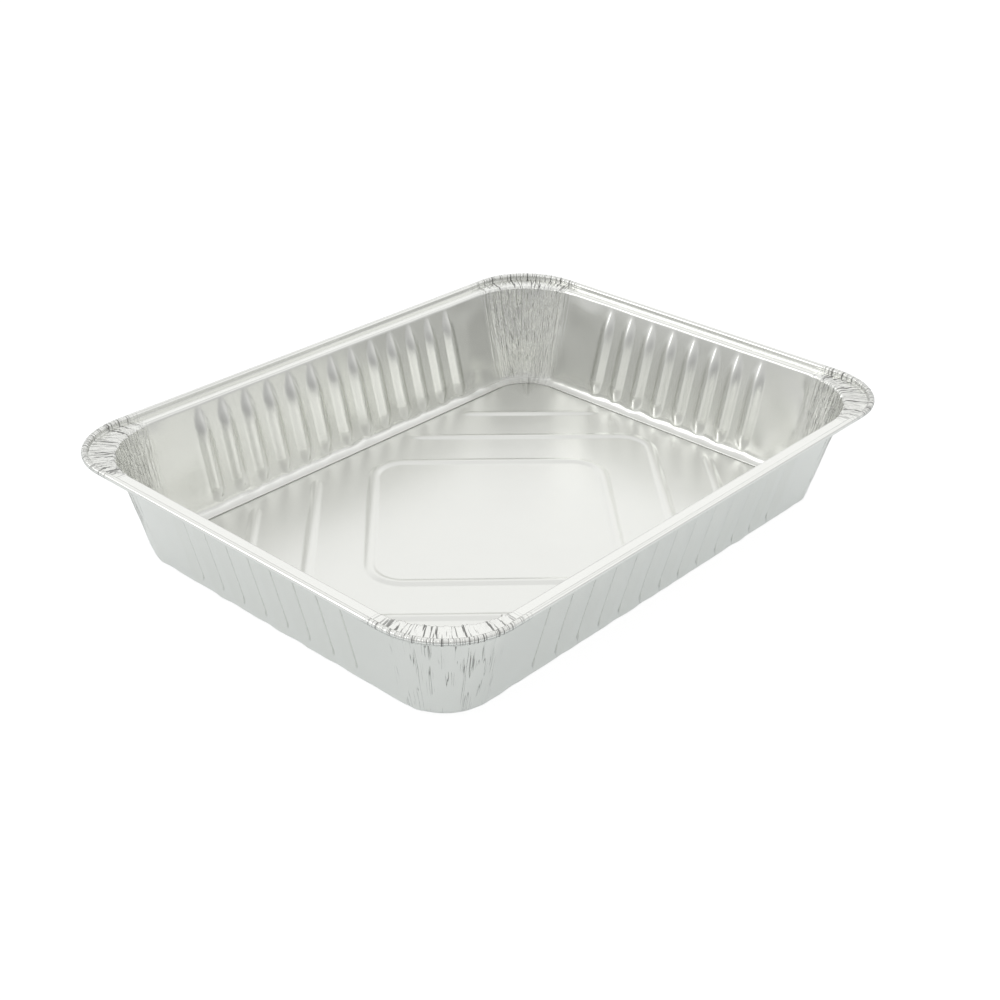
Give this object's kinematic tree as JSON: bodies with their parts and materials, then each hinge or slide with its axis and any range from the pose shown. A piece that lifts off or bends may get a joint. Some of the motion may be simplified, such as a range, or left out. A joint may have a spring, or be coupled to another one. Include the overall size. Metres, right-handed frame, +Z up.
{
  "type": "aluminium foil baking tray",
  "caption": "Shallow rectangular foil tray with leaning fluted walls, gathered round corners, a beaded floor and a flat ledge ending in a rolled rim.",
  "frame": {"origin": "middle of the floor's underside, which is the lowest plane of the tray", "axes": "+X along the long sides, +Y along the short sides, +Z up out of the open mouth"},
  "size_m": [0.325, 0.252, 0.056],
  "materials": {
    "foil": "bright rolled foil, semi-gloss, with very fine roll lines"
  },
  "bodies": {
    "root": {"foil_tray": "foil"}
  },
  "joints": []
}
